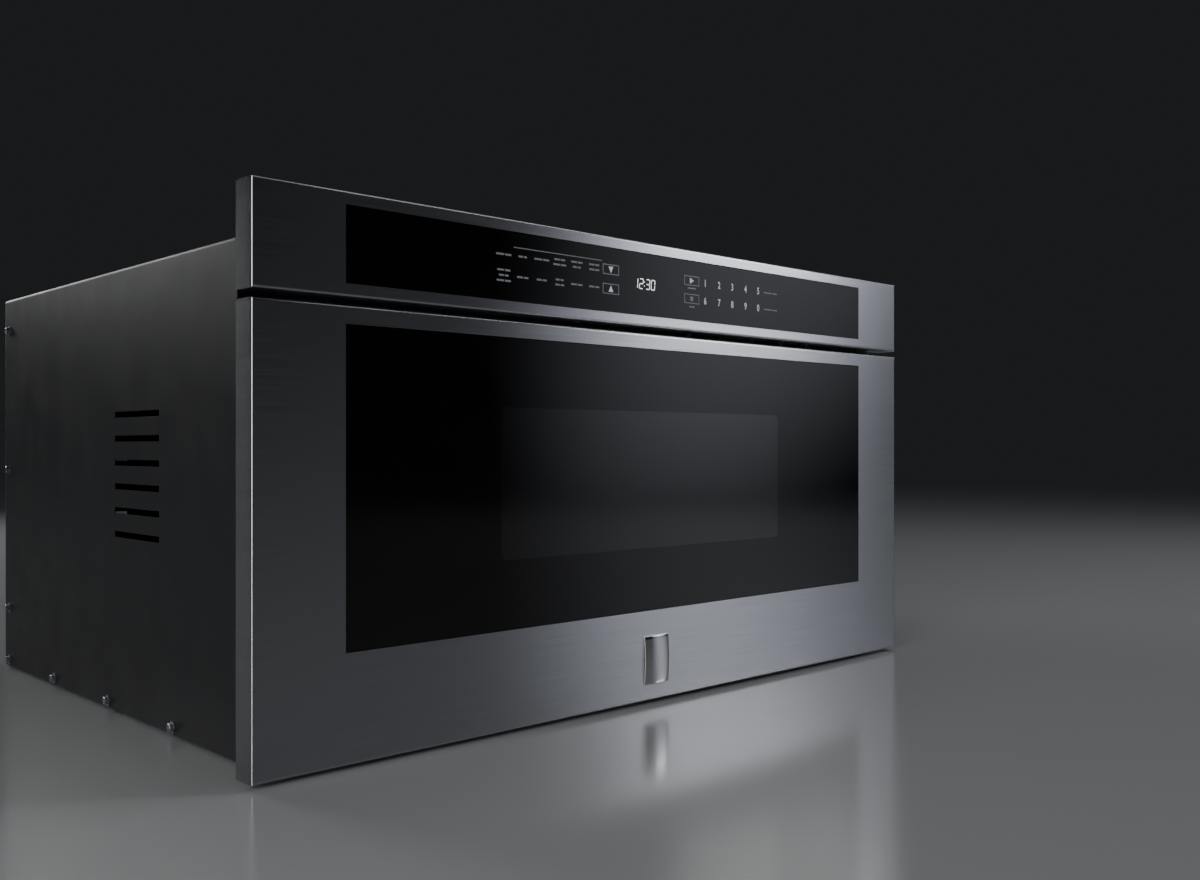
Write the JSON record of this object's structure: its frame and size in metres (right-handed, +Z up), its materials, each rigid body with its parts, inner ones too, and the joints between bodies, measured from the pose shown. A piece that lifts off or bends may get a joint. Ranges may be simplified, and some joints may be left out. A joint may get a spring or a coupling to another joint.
{
  "type": "microwave drawer",
  "caption": "Built-in microwave drawer with a touch control panel, a tinted window and a motor-driven tub on telescopic slides.",
  "frame": {"origin": "middle of the whole object in plan, on the surface the base stands on", "axes": "+X to the right across the front as one faces it, +Y from the front towards the back, +Z up"},
  "size_m": [0.758, 0.595, 0.4],
  "materials": {
    "stainless": "horizontally brushed stainless steel",
    "galvanised": "galvanised sheet steel",
    "charcoal_paint": "charcoal powder-coated steel",
    "enamel": "grey enamel on steel",
    "zinc_steel": "zinc plated steel",
    "dark_glass": "black tinted toughened glass",
    "clear_glass": "clear heat-resistant glass",
    "ceramic": "glazed glass ceramic",
    "black_plastic": "black moulded plastic",
    "grey_plastic": "grey moulded plastic",
    "white_plastic": "natural acetal",
    "mica": "heat-resistant microwave-clear sheet",
    "circuit_board": "green circuit board",
    "display": "display module",
    "aluminium": "bare aluminium",
    "polished_metal": "polished chrome",
    "tool_steel": "plain machined steel"
  },
  "bodies": {
    "chassis": {"base_pan": "galvanised", "outer_case": "charcoal_paint", "back_panel": "galvanised", "front_plate": "charcoal_paint", "mounting_flanges": "charcoal_paint", "cord_gland": "black_plastic", "cavity_shell": "enamel", "cavity_ceiling": "enamel", "cavity_stands": "galvanised", "stirrer_cover": "mica", "stirrer_motor": "zinc_steel", "waveguide": "galvanised", "magnetron": "zinc_steel", "transformer": "tool_steel", "capacitor": "aluminium", "power_board": "circuit_board", "oven_lamp": "zinc_steel", "fan_shroud": "black_plastic", "fan_motor": "zinc_steel", "exhaust_duct": "galvanised", "vent_grille": "black_plastic", "control_fascia": "stainless", "control_glass": "dark_glass", "control_housing": "black_plastic", "control_board": "circuit_board", "display_module": "display", "rail_outer_left": "zinc_steel", "rail_outer_right": "zinc_steel", "rail_brackets": "galvanised", "motor_bracket": "galvanised", "drive_motor": "zinc_steel", "interlock_switches": "black_plastic", "switch_holders": "galvanised"},
    "drawer": {"drawer_fascia": "stainless", "badge_plate": "polished_metal", "window_glass": "dark_glass", "door_frame": "charcoal_paint", "door_screen": "zinc_steel", "door_liner": "enamel", "inner_glass": "clear_glass", "choke_cover": "black_plastic", "tub": "enamel", "glass_tray": "ceramic", "rail_inner_left": "zinc_steel", "rail_inner_right": "zinc_steel", "arm_left": "galvanised", "arm_right": "galvanised", "rack": "white_plastic", "sensing_bosses": "grey_plastic"},
    "slide_middle_right": {"rail_middle_right": "zinc_steel"},
    "slide_middle_left": {"rail_middle_left": "zinc_steel"},
    "drive_spindle": {"drive_gear": "white_plastic", "drive_shaft": "tool_steel"},
    "motor_spindle": {"motor_pinion": "tool_steel"},
    "fan_wheel": {"cooling_fan": "grey_plastic"},
    "stirrer_wheel": {"stirrer": "aluminium"},
    "switch_plunger_right": {"plunger_right": "grey_plastic"},
    "switch_plunger_left": {"plunger_left": "grey_plastic"}
  },
  "joints": [
    {"name": "drawer_slide", "type": "slide", "parent": "chassis", "child": "drawer", "axis": [0, -1, 0], "range_m": [0, 0.38]},
    {"name": "middle_slide_right", "type": "slide", "parent": "chassis", "child": "slide_middle_right", "axis": [0, -1, 0], "range_m": [0, 0.19]},
    {"name": "middle_slide_left", "type": "slide", "parent": "chassis", "child": "slide_middle_left", "axis": [0, -1, 0], "range_m": [0, 0.19]},
    {"name": "drive_spin", "type": "hinge", "parent": "chassis", "child": "drive_spindle", "pos_m": [0.17, -0.2105, 0.034], "axis": [1, 0, 0], "range_deg": [-1, 1211]},
    {"name": "motor_spin", "type": "hinge", "parent": "chassis", "child": "motor_spindle", "pos_m": [0.163, -0.1755, 0.034], "axis": [1, 0, 0], "range_deg": [-3026, 3]},
    {"name": "fan_spin", "type": "hinge", "parent": "chassis", "child": "fan_wheel", "pos_m": [0.278, 0.265, 0.19], "axis": [0, 1, 0], "continuous": true},
    {"name": "stirrer_spin", "type": "hinge", "parent": "chassis", "child": "stirrer_wheel", "pos_m": [0, -0.05, 0.2765], "axis": [0, 0, 1], "continuous": true},
    {"name": "plunger_press_right", "type": "slide", "parent": "chassis", "child": "switch_plunger_right", "axis": [0, 1, 0], "range_m": [0, 0.0012], "stiffness_N_per_m": 300, "springref_m": -0.0015},
    {"name": "plunger_press_left", "type": "slide", "parent": "chassis", "child": "switch_plunger_left", "axis": [0, 1, 0], "range_m": [0, 0.0012], "stiffness_N_per_m": 300, "springref_m": -0.0015}
  ],
  "couplings": [
    {"joint": "middle_slide_right", "follows": "drawer_slide", "ratio": 0.5},
    {"joint": "middle_slide_left", "follows": "drawer_slide", "ratio": 0.5},
    {"joint": "drive_spin", "follows": "drawer_slide", "rad_per_m": 55.556},
    {"joint": "motor_spin", "follows": "drawer_slide", "rad_per_m": -138.89}
  ]
}
